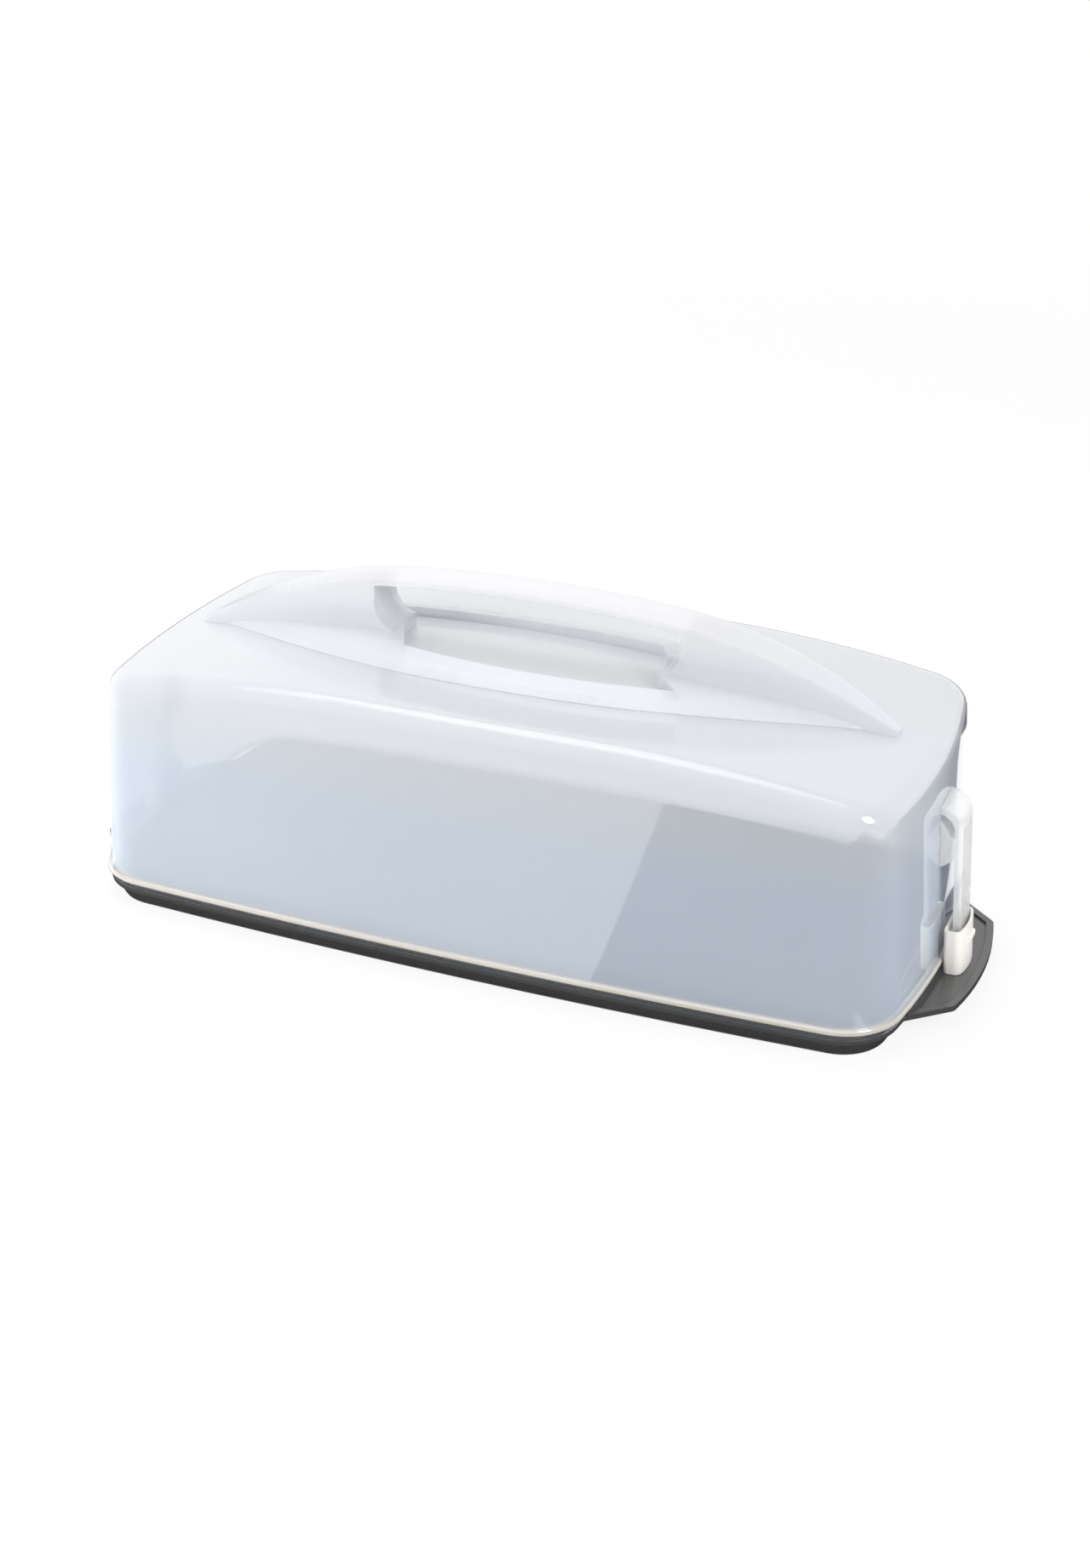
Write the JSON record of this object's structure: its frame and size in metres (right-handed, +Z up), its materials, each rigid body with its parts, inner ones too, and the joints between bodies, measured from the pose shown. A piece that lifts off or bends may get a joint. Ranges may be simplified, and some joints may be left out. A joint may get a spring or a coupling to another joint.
{
  "type": "cake carrier",
  "caption": "Long narrow cake carrier: dark tray with end grips, milky clear lift-off lid with an arched carry handle, and sliding lock collars at the ends.",
  "frame": {"origin": "middle of the foot's underside, on the surface the carrier stands on", "axes": "+X along the length, +Y across, +Z up"},
  "size_m": [0.412, 0.1732, 0.1489],
  "materials": {
    "dark_plastic": "satin",
    "milky_plastic": "glossy translucent",
    "handle_plastic": "satin translucent",
    "strap_plastic": "satin translucent",
    "white_plastic": "satin"
  },
  "bodies": {
    "base": {"base_tray": "dark_plastic"},
    "lid": {"lid_dome": "milky_plastic", "carry_handle": "handle_plastic", "right_latch_strap": "strap_plastic", "left_latch_strap": "strap_plastic"},
    "right_collar": {"right_lock_collar": "white_plastic"},
    "left_collar": {"left_lock_collar": "white_plastic"}
  },
  "joints": [
    {"name": "lid_lift", "type": "slide", "parent": "base", "child": "lid", "axis": [0, 0, 1], "range_m": [0, 0.2]},
    {"name": "right_collar_slide", "type": "slide", "parent": "lid", "child": "right_collar", "axis": [-0.0594, 0, 0.9982], "range_m": [0, 0.026]},
    {"name": "left_collar_slide", "type": "slide", "parent": "lid", "child": "left_collar", "axis": [0.0594, 0, 0.9982], "range_m": [0, 0.026]}
  ]
}
